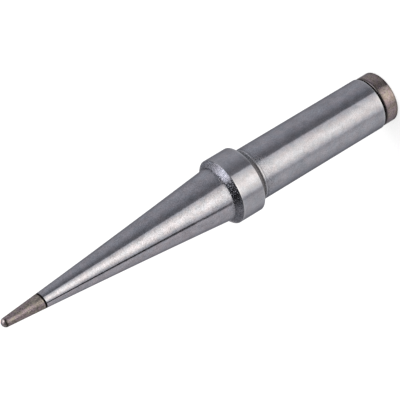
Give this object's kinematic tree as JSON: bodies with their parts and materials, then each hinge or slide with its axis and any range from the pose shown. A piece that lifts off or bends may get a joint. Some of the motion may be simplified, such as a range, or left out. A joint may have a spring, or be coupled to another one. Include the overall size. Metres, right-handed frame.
{
  "type": "soldering iron tip",
  "caption": "Long conical soldering iron tip with a plain round shank, a locating collar with a coned front and a temperature-sensing disc behind the shank.",
  "frame": {"origin": "centre of the temperature-sensing disc's rear face, on which the tip stands", "axes": "+Z along the tip's axis, from the disc up to the point; +X towards the side where the oblique edge of the tinned end lies nearest to the point"},
  "size_m": [0.0068, 0.0068, 0.0463],
  "materials": {
    "plated_copper": "satin chrome plate over a turned copper body, with a matt grey-brown tinned working end",
    "sensor_alloy": "turned nickel-iron alloy, warm grey and slightly tarnished"
  },
  "bodies": {
    "root": {"tip_body": "plated_copper", "sensor_disc": "sensor_alloy"}
  },
  "joints": []
}
